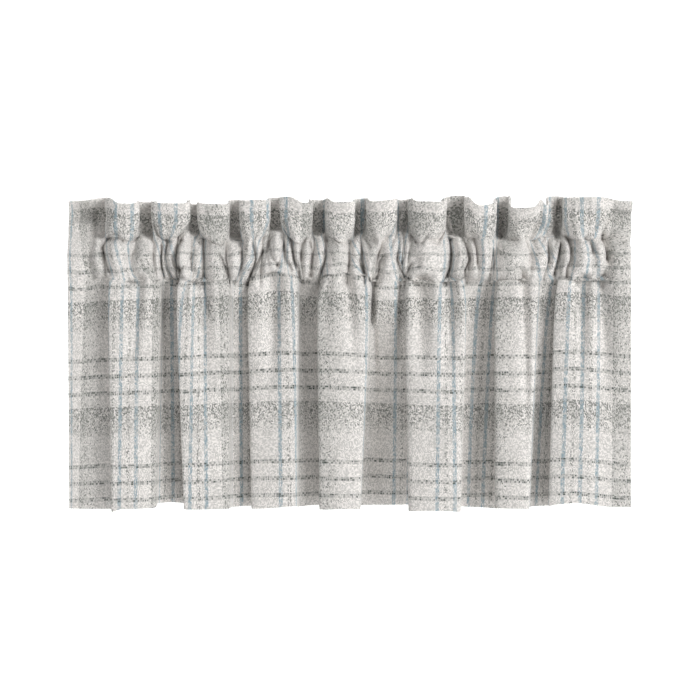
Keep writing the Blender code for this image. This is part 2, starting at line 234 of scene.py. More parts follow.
# How far the hem hangs below its mean height: cloth position, drop.
HEM_DROP = [
    (0, 2), (90, 3), (102, 3.5), (112, -0.5), (150, -1), (165, -1.5), (205, -5.5), (225, -5),
    (245, -2), (260, -0.5), (347, -0.5), (401, -0.5), (470, 1), (500, 1), (548, 1), (566, 0),
    (576, -1), (590, -2.5), (603, -3.5), (650, 0), (720, 0), (775, 1), (800, 0), (824, 0),
    (850, 4), (985, 4), (1040, 3.5), (1060, 2), (1085, 1.5), (1102, 3), (1184, 3.5), (1210, 5),
    (1236, 7), (1275, 0), (1310, -0.5), (1325, 3), (1357, 3), (1427, -1.5), (1440, -4.5),
    (1456, -6), (1470, -5.5), (1485, -3), (1500, -1.5), (1530, -1.5),
]

# Creases pressed into the front, on top of the gathers: depth toward the back
# (a ridge is negative), how far it reaches on the left and on the right of its
# line when that is followed downward, then x and z of each point of the line.
CREASES = [
    (11, 10, 11, -322, -15, -289, -17), (5, 1.5, 3, 30, -96, 28, -117, 25, -150),
    (5, 2.5, 1.5, 66, -91, 65, -117, 64, -145), (9, 9, 9, 308, -17, 334, -20),
    (5, 10, 10, 190, -31, 222, -33), (5, 6, 9, 223, -25, 215, -35, 208, -47),
    (3, 8, 8, 77, -33, 105, -34), (9, 5, 22, 33, -150, 29, -200, 25, -260, 21, -325),
    (4, 3, 3, -299, -14, -300, -46, -301, -72, -299, -88),
    (7, 1.3, 6, -285, -46, -290, -55, -287, -67, -282, -81), (5, 2, 2, -277, -39, -271, -39),
    (4.5, 1.2, 3, -283, -45, -276, -47, -271, -44, -263, -48, -257, -49, -245, -42),
    (3, 5, 5, -248, -49, -254, -67, -254, -93), (2, 2, 3, -229, -54, -227, -72, -226, -93),
    (5, 1.2, 3.5, -229, -30, -224, -40, -219, -46, -212, -48),
    (6, 2, 1.3, -219, -53, -221, -66, -220, -79, -217, -89),
    (6, 3.5, 1.3, -212, -49, -215, -58, -216, -69, -213, -81, -206, -93),
    (5.5, 1.5, 2.5, -207, -66, -205, -76, -199, -82),
    (9, 3.5, 1.2, -196, -46, -200, -54, -201, -72, -198, -82, -200, -94),
    (3, 1.5, 4, -198, -82, -191, -75, -184, -66, -181, -58),
    (3, 3, 3, -185, -74, -188, -96, -193, -111),
    (5, 1.4, 4, -172, -46, -170, -72, -170, -96, -167, -130), (4, 1.5, 2.5, -180, -45, -175, -51),
    (2.5, 2, 3, -198, -47, -191, -49, -180, -45),
    (6.5, 4.5, 1.2, -149, -67, -147, -74, -143, -79, -140, -95),
    (5.5, 1.3, 3, -126, -60, -126, -74, -130, -87, -137, -96),
    (6.5, 3, 1.3, -129, -41, -126, -48, -121, -55), (5, 1.3, 3.5, -114, -49, -110, -65, -112, -75),
    (8.5, 2.2, 2.2, -101, -59, -107, -72, -114, -83, -119, -98),
    (4, 2, 2.5, -95, -52, -100, -72, -103, -81, -105, -97), (5.5, 2, 2, -89, -41, -94, -48),
    (-4, 5.5, 5.5, -85, -41, -85, -60), (4.5, 2, 1.5, -93, -52, -89, -67, -84, -76),
    (4.5, 1.5, 2, -77, -52, -81, -66, -84, -76), (7, 3.5, 1.3, -76, -25, -72, -35, -67, -45),
    (5.5, 2, 2, -80, -42, -77, -49, -74, -67, -68, -80),
    (5.5, 1.5, 2.5, -68, -51, -65, -69, -59, -80, -59, -107),
    (4.5, 1.8, 2.5, -53, -47, -58, -56, -56, -69),
    (6.5, 2.5, 2, -41, -44, -40, -54, -44, -72, -45, -87), (3.5, 1.5, 1.5, -47, -48, -45, -55),
    (4, 2.5, 2, -59, -83, -56, -96, -52, -100, -46, -86),
    (6.5, 4, 1.2, -31, -13, -31, -32, -26, -47), (5, 1.3, 3, -26, -47, -27, -66, -32, -82),
    (6, 4, 1.3, -32, -83, -31, -93, -35, -105), (5.5, 2, 2.5, -2, -41, 0, -72, -2, -96),
    (5, 1.3, 2.5, 0, -51, 5, -48, 9, -42), (2, 4, 4, -7, -98, 0, -102, 8, -101),
    (6, 2.5, 1.5, 13, -44, 15, -58, 17, -75, 18, -97), (4.5, 1.5, 2.5, 11, -69, 14, -77, 18, -86),
    (3.5, 1.5, 1.5, 19, -46, 24, -55),
    (5.5, 1.4, 4.5, 44, -40, 38, -47, 37, -56, 32, -66, 28, -75),
    (8.5, 2, 3, 40, -65, 36, -72, 35, -83, 31, -96),
    (5.5, 1.3, 3, 64, -37, 56, -41, 51, -47, 49, -55),
    (7, 1.5, 2.5, 60, -42, 58, -58, 56, -69, 60, -80, 66, -90),
    (5.5, 2, 2, 66, -90, 69, -81, 73, -74), (5.5, 2, 1.5, 65, -39, 65, -55, 65, -65, 62, -73),
    (5.5, 3, 1.2, 70, -23, 72, -37, 78, -49),
    (4, 1.2, 2.5, 78, -49, 84, -51, 90, -42, 95, -47, 104, -49, 111, -38),
    (3.5, 4.5, 4.5, 78, -68, 80, -75), (2.5, 3, 7, 113, -72, 101, -77, 92, -81, 88, -104),
    (6, 1.3, 3.5, 112, -13, 113, -25, 118, -37, 120, -46),
    (8, 2, 2.2, 118, -44, 120, -60, 119, -77, 112, -96),
    (7.5, 2, 2.2, 132, -42, 137, -54, 141, -69, 135, -82, 137, -97),
    (4.5, 2, 2, 146, -40, 149, -56, 150, -73), (8, 3.5, 1.3, 169, -60, 167, -74, 166, -91),
    (7, 3, 1.2, 183, -13, 181, -28, 181, -42), (4.5, 1.2, 2.5, 181, -44, 185, -47, 193, -46),
    (3.5, 1.5, 2, 175, -48, 174, -61, 170, -76), (3, 3.5, 3.5, 219, -26, 214, -35, 212, -45),
    (3.5, 3, 2, 207, -47, 211, -62, 210, -73), (4, 4, 3, 200, -79, 204, -90),
    (3.5, 1.5, 4, 212, -80, 219, -82, 222, -95, 224, -122),
    (5, 1.5, 2.5, 233, -35, 230, -44, 225, -49), (4.5, 2, 2, 233, -49, 234, -72),
    (8, 3.5, 1.2, 248, -3, 246, -17, 246, -33, 249, -39, 259, -44), (5, 2, 2, 245, -40, 242, -52),
    (8, 1.8, 2.5, 258, -44, 260, -61, 259, -70, 255, -79, 255, -89),
    (8, 2.2, 2, 249, -52, 245, -67, 241, -86), (5, 2, 2, 276, -44, 282, -48, 286, -58),
    (3, 4, 4, 284, -60, 281, -76, 277, -110), (3, 3.5, 3.5, 286, -30, 280, -38, 275, -44),
    (7.5, 2, 3, 297, -41, 298, -49, 302, -60, 303, -68),
    (5, 4, 2.5, 302, -67, 300, -79, 300, -100), (5, 1.3, 3.5, 301, -21, 297, -33, 297, -44),
]

# Creases and troughs of the front.
SOFT_REACH = 3.2  # creases that reach farther on both sides have round bottoms
SOFT = (1.2, 2.0)  # their depth as a multiple of the table's, and their power
SHARP = (1.6, 1.15)  # the same for the others
TROUGH_START = 12.0  # how abruptly a trough starts above the lower stitching

# Plan curves. A power says how squarely or how late a shape turns.
FRONT_SHARES = (-1.0, -0.9, -0.75, -0.45, 0.0, 0.45, 0.75, 0.9, 1.0)
LOBE_CROWNS = (4.0, 4.0)  # how far a lobe's edges stand behind its middle
LOBE_POWER = 2.0
FOLD_POWER = 3.0
RECESS_CLOTH = 0.6  # cloth in a recess, as a share of its width
VALLEY_CLOTH = 1.1
PINCH = 0.45  # width of a lobe at its stitching, as a share of its own
TOP_ENDS_Z = -1.0  # the top edge at the header's sides
LOBE_TOP = 0.85  # share of a lobe's half width where its top heights hold
RECESS_TOP = 7.0  # how far outside a recess its side heights hold

# Puffs of the pocket.
PUFF_STEPS = 14
PUFF_FULL = 1.9  # how much of a puff's cloth is rolled into its creases
PUFF_ROLL = 0.85  # the same at a crease of full depth
PUFF_POWER = 0.75
BACK_PUFF = 0.7  # puffs of the pocket's back, as a share of the front's
END_CREASE = 0.3  # depth of the crease at the pocket's two sides
END_SWELL = 3.0  # swell of the puff at its left side
TOP_POWER = 0.85  # how late the wall stands out below the header's stitching
LOWER_POWER = 0.6  # the same above the lower stitching
FREE_FROM = 0.25  # share of its depth where the wall leaves the stitching's x

# The two rows of stitching.
STITCH_DEPTH = 0.5  # depth of the gathers at the stitching, as a share
STITCH_Y = -2.0
STITCH_FORWARD = 0.6  # share of a lobe's half width where its stitching is forward
LOWER_Y = -5.0
LOWER_FOLLOW_X = 0.7  # how far the lower stitching follows the folds along x
LOWER_FOLLOW_Y = 0.72  # the same along y
LOWER_PUFFS = 0.4  # how far it follows the puffs along y

# The header, from its stitching up.
HEADER_OPEN = 0.45  # height at which the lobes and recesses have opened
HEADER_OPENED = (0.93, 0.07)  # shares opened by there, and evenly up to the top
RECESS_OPEN = 0.30  # how late the recesses open
RECESS_BACK = 0.13  # height at which the recesses have their full depth
RECESS_POWER = 0.7
LEAN = (0.4, 0.6)  # shares of a lobe's lean, even and easing toward the top
FOOT_HEIGHT = 0.34  # height up to which a lobe's foot bulges
FOOT_POWER = 0.8
FOOT_FORWARD = 3.0
FOOT_HOLD = 0.5  # how far down a foot holds the pocket back, as a share
FOOT_GROOVE = 1.6  # height of the dark groove below a foot
FOOT_STEEP = 0.3  # how abruptly the pocket stands out below it
FOOT_FULL = 3.0  # a foot that hangs this far has the whole groove

# The drop and the turned edges.
SHOULDER = 14.0  # height over which the drop's folds open
BODY_CROWDING = 1.5  # how much closer its rows lie at the top
HEM_EDGE = 0.8  # height of its last row above the edge of the hem
SIDE_EDGE = 0.6  # place of the last column before the edge of a side
TOP_EDGE_RISE = 0.6  # height of the top edge's turn above the front's last row
TOP_EDGE_CLOTH = 1.0  # cloth on each side of that turn
BACK_LOWER = 0.2  # how far the header's back layer is below the front one
BACK_GAP = 0.8  # distance of the pocket's back from its plan curve

# The plaid's place on the cloth, as the distance below its origin.
PLAID_ORIGIN = 16.7  # distance of that origin below the top edge
HEADER_PLAID_MOST = 58.0  # no place in the header is farther down than this
MIDDLE_LEVEL = 0.41
MIDDLE_PLAID = 64.8  # place at that level of the pocket
SHIFT_FADE = 0.5  # how soon the sideways shift turns to the hem's

# Widths along the cloth over which corners are rounded.
HEADER_ROUND = 4.5
POCKET_ROUND = 1.8
STITCH_ROUND = 2.2
STITCH_Y_ROUND = 4.0
BODY_ROUND = 3.6
BODY_LINE_ROUND = 10.0
TOP_ROUND = 3.5
FOOT_ROUND = 2.5
OPENING_ROUND = 6.0
PINCH_ROUND = 8.0
STITCH_RISE_ROUND = 4.0
LOWER_RISE_ROUND = 6.0
HEM_ROUND = 2.5
PLAID_RISE_ROUND = 12.0
PLAID_SHIFT_ROUND = 5.0
PLAID_PLACE_ROUND = 3.0

FINE_U = np.arange(0.0, FLAT_WIDTH + 0.5 * FINE_STEP, FINE_STEP)


# ---- plan curves

def between(first, second, share):
    return first + share * (second - first)


def step_count(length, step):
    return int(round(length / step))


def rounded(values, width):
    """A run of values over FINE_U, averaged so that its corners are round."""
    reach = int(round(3.0 * width / FINE_STEP))
    offsets = np.arange(-reach, reach + 1) * FINE_STEP
    weights = np.exp(-0.5 * (offsets / width) ** 2)
    weights /= weights.sum()
    left = 2.0 * values[0] - values[reach:0:-1]
    right = 2.0 * values[-1] - values[-2:-reach - 2:-1]
    return np.convolve(np.concatenate([left, values, right]), weights, mode="valid")


def over_cloth(points, width):
    """Values over FINE_U through points of (u, value)."""
    table = np.array(sorted(points))
    return rounded(np.interp(FINE_U, table[:, 0], table[:, 1]), width)


def fine_curve(points, width):
    """x and y over FINE_U through points of (u, x, y)."""
    columns = np.array(sorted(points)).T
    lines = [np.interp(FINE_U, columns[0], values) for values in columns[1:]]
    return np.stack([rounded(line, width) for line in lines], axis=1)


def crowned_front(left, right, middle_u, front_y, crowns, power, slope):
    """Points of a lobe or fold, whose edges stand back by its left and right crown."""
    half = 0.5 * (right - left)
    centre = 0.5 * (left + right)
    points = []
    for share in FRONT_SHARES:
        crown = crowns[0] if share < 0.0 else crowns[1]
        y = front_y + crown * abs(share) ** power - 0.5 * slope * (share - 1.0)
        points.append((middle_u + share * half, centre + share * half, y))
    return points


def hollow(left, right, middle_u, left_y, right_y, cloth):
    """Points of the two sides of a recess or valley, with this share of cloth between."""
    reach = 0.5 * cloth * (right - left)
    return [(middle_u - reach, left, left_y), (middle_u + reach, right, right_y)]


def header_curve():
    points = [(0.0, -HALF_WIDTH, HEADER_ENDS_Y[0]), (FLAT_WIDTH, HALF_WIDTH, HEADER_ENDS_Y[1])]
    for (left, right, middle_u, front_y, *_rest), slope in zip(LOBES, LOBE_SLOPES):
        points += crowned_front(left, right, middle_u, front_y, LOBE_CROWNS, LOBE_POWER, slope)
    for left, right, middle_u, left_back, right_back, *_rest in RECESSES:
        points += hollow(left, right, middle_u, left_back, right_back, RECESS_CLOTH)
    return fine_curve(points, HEADER_ROUND)


def header_top():
    """Height of the header's top edge, with its small lips."""
    points = [(0.0, TOP_ENDS_Z), (FLAT_WIDTH, TOP_ENDS_Z)]
    for left, right, middle_u, _front, left_top, right_top, *_rest in LOBES:
        reach = LOBE_TOP * 0.5 * (right - left)
        points += [(middle_u - reach, left_top), (middle_u + reach, right_top)]
    for left, right, middle_u, _left, _right, left_top, middle_top, right_top in RECESSES:
        side = 0.5 * RECESS_CLOTH * (right - left) + RECESS_TOP
        points += [(middle_u - side, left_top), (middle_u, middle_top)]
        points.append((middle_u + side, right_top))
    top = over_cloth(points, TOP_ROUND)
    for place, reach, height in LIPS:
        top += height * np.exp(-((FINE_U - place) / reach) ** 2)
    return top


def header_foot():
    """How far the header hangs over its own stitching, and how it opens above it."""
    foot_points = [(0.0, 0.0), (FLAT_WIDTH, 0.0)]
    open_points = [(0.0, RECESS_OPEN), (FLAT_WIDTH, RECESS_OPEN)]
    for left, right, middle_u, *_rest, drop, flat, open_share, _stitch in LOBES:
        half = 0.5 * (right - left)
        for side in (-half, half):
            foot_points += [(middle_u + side, 0.0), (middle_u + flat * side, drop)]
            open_points.append((middle_u + side, open_share))
    for row in RECESSES:
        foot_points.append((row[2], 0.0))
        open_points.append((row[2], RECESS_OPEN))
    return over_cloth(foot_points, FOOT_ROUND), over_cloth(open_points, OPENING_ROUND)


def stitched_line():
    """x of the header's stitching, with each lobe drawn in to its pinch."""
    points = [(0.0, -HALF_WIDTH), (FLAT_WIDTH, HALF_WIDTH)]
    for left, right, middle_u, _front, _left_top, _right_top, pinch, *_rest in LOBES:
        half = 0.5 * (right - left)
        points += [(middle_u + side, pinch + PINCH * side) for side in (-half, half)]
    return over_cloth(points, PINCH_ROUND)


def body_curve(fall):
    """Plan curve of the drop: fall is 0 at the pocket and 1 at the hem."""
    points = [
        (0.0, -HALF_WIDTH, between(*LEFT_END_Y, fall)),
        (FLAT_WIDTH, HALF_WIDTH, between(*RIGHT_END_Y, fall)),
    ]
    for *edges, middle_u, top_y, hem_y, slope, left_roll, right_roll in FOLDS:
        left = between(edges[0], edges[2], fall)
        right = between(edges[1], edges[3], fall)
        front_y = between(top_y, hem_y, fall)
        crowns = (left_roll, right_roll)
        points += crowned_front(left, right, middle_u, front_y, crowns, FOLD_POWER, slope)
    for *edges, middle_u, top_left_y, top_right_y, hem_left_y, hem_right_y in VALLEYS:
        left = between(edges[0], edges[2], fall)
        right = between(edges[1], edges[3], fall)
        left_y = between(top_left_y, hem_left_y, fall)
        right_y = between(top_right_y, hem_right_y, fall)
        points += hollow(left, right, middle_u, left_y, right_y, VALLEY_CLOTH)
    return fine_curve(points, BODY_ROUND)


def rising(values):
    """The same values, made to rise all the way so that they can be looked up."""
    return np.maximum.accumulate(values) + 1e-4 * np.arange(len(values))


HEADER = header_curve()
BODY_TOP = body_curve(0.0)
TOP_EDGE = header_top()
FOOT, OPENING = header_foot()
STITCHED_X = rising(stitched_line())
STITCH_UP = over_cloth(STITCH_RISE, STITCH_RISE_ROUND)
LOWER_UP = over_cloth(LOWER_RISE, LOWER_RISE_ROUND)
HEM_DOWN = over_cloth(HEM_DROP, HEM_ROUND)
BODY_X = rising(rounded(BODY_TOP[:, 0], BODY_LINE_ROUND))


def crease_places(level):
    """Cloth position, x, depth, swell and lean of each pocket crease at one level."""
    places = []
    levels = (0.0, 0.5, 1.0)
    for top, top_depth, middle, middle_depth, foot, foot_depth, swell, lean in POCKET_CREASES:
        top_u = np.interp(top, STITCHED_X, FINE_U)
        foot_u = np.interp(foot, BODY_X, FINE_U)
        x = np.interp(level, levels, (top, middle, foot))
        depth = np.interp(level, levels, (top_depth, middle_depth, foot_depth))
        places.append((between(top_u, foot_u, level), x, depth, swell, lean))
    return places


def pocket_curve(level, depth_scale=1.0, rounding=POCKET_ROUND):
    """Gathers of the pocket's front wall: x, and y from the rod's side of the wall.

    level is 0 at the header's stitching and 1 at the lower one.
    """
    left_side = (0.0, -HALF_WIDTH, END_CREASE, END_SWELL, 0.0)
    right_side = (FLAT_WIDTH, HALF_WIDTH, END_CREASE, 0.0, 0.0)
    places = [left_side, *crease_places(level), right_side]
    points = []
    for left_place, right_place in zip(places[:-1], places[1:]):
        left_u, left, left_depth, swell, lean = left_place
        right_u, right, right_depth = right_place[:3]
        for step in range(PUFF_STEPS):
            share = step / PUFF_STEPS
            depth = between(left_depth, right_depth, share)
            full = share ** PUFF_FULL
            round_share = full / (full + (1.0 - share) ** PUFF_FULL)
            x_share = share + PUFF_ROLL * depth * (round_share - share)
            crown = math.sin(math.pi * x_share) ** PUFF_POWER
            x = between(left, right, x_share) + depth_scale * lean * crown
            y = -depth_scale * swell * (1.0 - depth * (1.0 - crown))
            points.append((between(left_u, right_u, share), x, y))
    points.append((FLAT_WIDTH, HALF_WIDTH, 0.0))
    return fine_curve(points, rounding)


def smooth_step(value):
    value = np.clip(value, 0.0, 1.0)
    return value * value * (3.0 - 2.0 * value)


def header_stitch():
    """Plan curve of the header's stitching, which stands forward below each lobe."""
    curve = pocket_curve(0.0, STITCH_DEPTH, STITCH_ROUND)
    points = [(0.0, STITCH_Y), (FLAT_WIDTH, STITCH_Y)]
    for left, right, middle_u, *_rest, stitch_y in LOBES:
        half = 0.5 * (right - left)
        for side in (-half, half):
            points.append((middle_u + side, STITCH_Y))
            points.append((middle_u + STITCH_FORWARD * side, stitch_y))
    curve[:, 1] += over_cloth(points, STITCH_Y_ROUND)
    return curve


def lower_stitch():
    """Plan curve of the lower stitching, between the pocket's puffs and the drop's folds."""
    curve = pocket_curve(1.0, STITCH_DEPTH, STITCH_ROUND)
    x = between(curve[:, 0], BODY_TOP[:, 0], LOWER_FOLLOW_X)
    y = LOWER_FOLLOW_Y * BODY_TOP[:, 1] + LOWER_PUFFS * curve[:, 1] + LOWER_Y
    return np.stack([x, y], axis=1)


def header_row(height):
    """Plan curve and heights of the header; height is 0 at its stitching, 1 at the top."""
    stitch = header_stitch()
    by_open, by_top = HEADER_OPENED
    opened = by_open * min(1.0, height / HEADER_OPEN) ** OPENING + by_top * height
    x = between(stitch[:, 0], HEADER[:, 0], opened)
    way = HEADER[:, 1] - stitch[:, 1]
    leaning = LEAN[0] * height + LEAN[1] * (1.0 - (1.0 - height) ** 2)
    back = min(1.0, height / RECESS_BACK) ** RECESS_POWER
    y = stitch[:, 1] + np.where(way < 0.0, leaning, back) * way
    over = math.sin(math.pi * min(1.0, height / FOOT_HEIGHT)) ** FOOT_POWER
    y -= FOOT_FORWARD * over * FOOT / FOOT.max()
    z = STITCH_Z * (1.0 - height) + TOP_EDGE * smooth_step(height) - FOOT * over
    return np.stack([x, y], axis=1), z + STITCH_UP * (1.0 - height) ** 1.5


def pocket_row(level, side):
    """Plan curve and heights of a pocket wall; side is -1 for the front, 1 for the back."""
    under = np.clip(FOOT / FOOT_FULL, 0.0, 1.0)
    hold = (FOOT_HOLD * FOOT + FOOT_GROOVE * under) / POCKET_HEIGHT
    free = np.clip((level - hold) / (1.0 - hold), 0.0, 1.0)
    power = np.where(free < 0.5, between(TOP_POWER, FOOT_STEEP, under), LOWER_POWER)
    round_out = np.sin(math.pi * free).clip(0.0, 1.0) ** power
    gathers = pocket_curve(level, 1.0 if 0.0 < level < 1.0 else STITCH_DEPTH)
    ends = between(header_stitch(), lower_stitch(), smooth_step(level))
    puffs = gathers[:, 1] if side < 0 else -BACK_PUFF * gathers[:, 1]
    y = between(ends[:, 1], side * POCKET_HALF_DEPTH + puffs, round_out)
    x = between(ends[:, 0], gathers[:, 0], smooth_step(round_out / FREE_FROM))
    z = between(STITCH_Z, LOWER_Z, level)
    z = z + STITCH_UP * (1.0 - level) ** 2 + LOWER_UP * level ** 3
    return np.stack([x, y], axis=1), z


def body_row(below):
    """Plan curve and heights of the drop, below the lower stitching."""
    fall = below / BODY_DROP
    hold = math.exp(-below / SHOULDER)
    curve = between(body_curve(fall), lower_stitch(), hold)
    z = LOWER_Z - below + LOWER_UP * hold - HEM_DOWN * fall ** 2
    return curve, z


def across(curve):
    """The level direction toward the cloth's back, along a plan curve."""
    along = np.gradient(curve, axis=0)
    along /= np.linalg.norm(along, axis=1)[:, None]
    return np.stack([-along[:, 1], along[:, 0]], axis=1)


def relief_depth(points):
    """How far the creases press the front back at each x, y, z point."""
    depth = np.zeros(len(points))
    for press, left_reach, right_reach, *line in CREASES:
        nearest = np.full(len(points), np.inf)
        reach = np.full(len(points), left_reach)
        for x_start, z_start, x_end, z_end in zip(line[::2], line[1::2], line[2::2], line[3::2]):
            run_x = x_end - x_start
            run_z = z_end - z_start
            off_x = points[:, 0] - x_start
            off_z = points[:, 2] - z_start
            share = (off_x * run_x + off_z * run_z) / (run_x ** 2 + run_z ** 2)
            share = np.clip(share, 0.0, 1.0)
            gap = np.hypot(off_x - share * run_x, off_z - share * run_z)
            side = run_x * off_z - run_z * off_x
            closer = gap < nearest
            nearest = np.where(closer, gap, nearest)
            reach = np.where(closer, np.where(side > 0.0, right_reach, left_reach), reach)
        multiple, power = SHARP if min(left_reach, right_reach) < SOFT_REACH else SOFT
        depth += press * multiple * np.exp(-(nearest / reach) ** power)
    for top_x, foot_x, foot_z, press, left_reach, right_reach in TROUGHS:
        fall = (LOWER_Z - points[:, 2]) / (LOWER_Z - foot_z)
        off_x = points[:, 0] - top_x - fall * (foot_x - top_x)
        reach = np.where(off_x < 0.0, left_reach, right_reach)
        fade = smooth_step(np.where(fall < 0.0, 1.0 + TROUGH_START * fall, 1.0 - fall))
        depth += press * fade * np.exp(-(off_x / reach) ** 2)
    return depth


# ---- the plaid's place

def plaid_offset(rows, points, width, fade=1.0):
    """A table's offset along FINE_U for one row of points, faded in down the pocket."""
    place, top, hem = np.array(rows).T
    z = points[:, 2].mean()
    fall = np.clip((LOWER_Z - z) / BODY_DROP, 0.0, 1.0) ** fade
    hold = np.clip((STITCH_Z - z) / POCKET_HEIGHT, 0.0, 1.0)
    top = np.interp(FINE_U, place, top)
    hem = np.interp(FINE_U, place, hem)
    return rounded(hold * between(top, hem, fall), width)


def plaid_rise(points):
    return plaid_offset(PLAID_RISE, points, PLAID_RISE_ROUND)


def plaid_shift(points):
    return plaid_offset(PLAID_SHIFT, points, PLAID_SHIFT_ROUND, SHIFT_FADE)


def header_plaid(height):
    """Place on the plaid for a height in the header."""
    return -STITCH_Z * (1.0 - height) - PLAID_ORIGIN


def pocket_plaid(level):
    """Place on the plaid for a level of the pocket, with more cloth at its top."""
    if level < MIDDLE_LEVEL:
        return between(header_plaid(0.0), MIDDLE_PLAID, level / MIDDLE_LEVEL)
    share = (level - MIDDLE_LEVEL) / (1.0 - MIDDLE_LEVEL)
    return between(MIDDLE_PLAID, -LOWER_Z, share)


def follow_cloth(rows, first_row):
    """Places the plaid by the real length of the cloth, from the top edge down to
    first_row, at the stitching, and leads it back to its usual place in the pocket."""
    place = header_plaid(1.0) + np.zeros(len(FINE_U))
    below = rows[-1][0]
    rows[-1] = (below, place, rows[-1][2])
    for index in range(len(rows) - 2, first_row - 1, -1):
        points, _old, shift = rows[index]
        place = place + np.linalg.norm(points - below, axis=1)
        below = points
        eased = np.minimum(rounded(place, PLAID_PLACE_ROUND), HEADER_PLAID_MOST)
        rows[index] = (points, eased, shift)
    top = rows[first_row][1]
    count = step_count(POCKET_HEIGHT, ROW_STEP_POCKET)
    for step in range(1, count):
        share = (step / count) / MIDDLE_LEVEL
        if share >= 1.0:
            break
        points, _old, shift = rows[first_row - step]
        place = between(top, MIDDLE_PLAID, share)
        rows[first_row - step] = (points, place + plaid_rise(points), shift)


# ---- the sheet

def cloth_rows():
    """Rows of the cloth from the turned hem, up the front, over the top and down the back.

    Each row is x, y, z over FINE_U in millimetres, its place down the plaid and
    the plaid's sideways shift.
    """
    rows = []

    def add(row, plaid_v, offset=0.0, front=True):
        curve, z = row
        placed = np.column_stack([curve + offset * across(curve), z])
        rise = shift = np.zeros(len(FINE_U))
        if front:
            rise = plaid_rise(placed)
            shift = plaid_shift(placed)
            placed[:, 1] += relief_depth(placed)
        rows.append((placed, plaid_v + rise, shift))

    for below in BODY_DROP - HEM_TURN + HEM_TURN * np.arange(HEM_ROWS) / HEM_ROWS:
        add(body_row(below), DROP + (BODY_DROP - below) + HEM_DOWN, HEM_GAP)
    add(body_row(BODY_DROP), DROP + HEM_DOWN, 0.5 * HEM_GAP)
    shares = (np.arange(BODY_ROWS, 0, -1) / BODY_ROWS) ** BODY_CROWDING
    for below in (BODY_DROP - HEM_EDGE) * shares:
        add(body_row(below), -LOWER_Z + below + HEM_DOWN * (below / BODY_DROP) ** 2)
    steps = step_count(POCKET_HEIGHT, ROW_STEP_POCKET)
    for level in np.linspace(1.0, 0.0, steps + 1):
        add(pocket_row(level, -1), pocket_plaid(level))
    first_row = len(rows) - 1
    steps = step_count(-STITCH_Z, ROW_STEP_HEADER)
    for height in np.linspace(0.0, 1.0, steps + 1)[1:]:
        add(header_row(height), header_plaid(height), -LAYER_GAP)
    follow_cloth(rows, first_row)
    curve, z = header_row(1.0)
    middle = header_plaid(1.0) - TOP_EDGE_CLOTH
    add((curve, z + TOP_EDGE_RISE), middle)
    steps = step_count(-STITCH_Z, ROW_STEP_BACK)
    for height in np.linspace(1.0, 0.0, steps + 1):
        curve, z = header_row(height)
        add((curve, z - BACK_LOWER), 2.0 * middle - header_plaid(height), LAYER_GAP)
    last = float(rows[-1][1].mean())
    steps = step_count(POCKET_HEIGHT, ROW_STEP_BACK)
    for level in np.linspace(0.0, 1.0, steps + 1)[1:]:
        place = last - BACK_CLOTH * POCKET_HEIGHT * level
        add(pocket_row(level, 1), place, BACK_GAP, False)
    return rows


def new_object(name, data):
    item = bpy.data.objects.new(name, data)
    bpy.context.scene.collection.objects.link(item)
    return item


def build_cloth():
    def sample(points, places):
        return np.stack([np.interp(places, FINE_U, values) for values in points.T], axis=1)

    columns = np.linspace(0.0, FLAT_WIDTH, step_count(FLAT_WIDTH, COLUMN_STEP) + 1)
    turn = np.array([SIDE_TURN, 0.66 * SIDE_TURN, 0.33 * SIDE_TURN, SIDE_EDGE])
    u_values = np.concatenate([-turn, columns, FLAT_WIDTH + turn[::-1]])
    grid = []
    plaid = []
    for points, plaid_v, shift in cloth_rows():
        left = sample(points, turn)
        right = sample(points, FLAT_WIDTH - turn)[::-1]
        left[:, 1] += HEM_GAP
        right[:, 1] += HEM_GAP
        grid.append(np.concatenate([left, sample(points, columns), right]))
        shifted = u_values + np.interp(u_values, FINE_U, shift)
        plaid.append(np.column_stack([shifted, np.interp(u_values, FINE_U, plaid_v)]))
    grid = np.array(grid)
    plaid = np.array(plaid)
    index = np.arange(grid[:, :, 0].size).reshape(grid.shape[:2])
    corners = [index[:-1, :-1], index[:-1, 1:], index[1:, 1:], index[1:, :-1]]
    quads = np.stack(corners, axis=-1).reshape(-1, 4)
    mesh = bpy.data.meshes.new("cloth")
    mesh.from_pydata((grid.reshape(-1, 3) * MM).tolist(), [], quads.tolist())
    layer = mesh.uv_layers.new(name="plaid")
    uv = plaid.reshape(-1, 2)[quads.reshape(-1)] * MM
    layer.data.foreach_set("uv", uv.astype(np.float32).reshape(-1))
    mesh.shade_smooth()
    return new_object("cloth", mesh)


# ---- the material

# The plaid's u runs across the cloth and its v down it, both in metres.
REPEAT = 123.3 * MM
LINE_STEP = 19.35 * MM
WARP_FIRST = -31.5 * MM
WEFT_FIRST = 64.8 * MM
WARP_BAND_AFTER = 57.2 * MM  # from the first line of a group to the grey band's edge
WEFT_BAND_AFTER = 54.5 * MM
BAND_LENGTH = 37.0 * MM
BAND_POWER = 0.7
LINE_EDGE = 1.25  # a line ends at this multiple of its half width
LINE_FADE = 4.0  # how sharply
STRIPE_HALF = 1.9 * MM
WARP_YARN = 1.2 * MM
WEFT_YARN = 1.3 * MM
SLUB_START = 5.0  # how far neighbouring yarns' slubs are out of step, in yarns
WARP_SLUB = 0.8  # slubs of the warp for each weft yarn
BLUE_START = 3.0  # the same two for the flecks of the blue stripes
BLUE_FLECK = 0.55
RIB = 3.6 * MM  # spacing of the faint ribs across the cloth
RIB_FROM = 0.7  # share of that spacing where the shaded part starts
RIB_SHADE = -0.14
DASH = 2.6 * MM  # spacing of the dashes in the dark weft lines
DASH_OFFSET = 1.15 * MM  # each dark line has two rows of them, this far off its middle
DASH_FADE = 6.0  # how sharply a dash ends
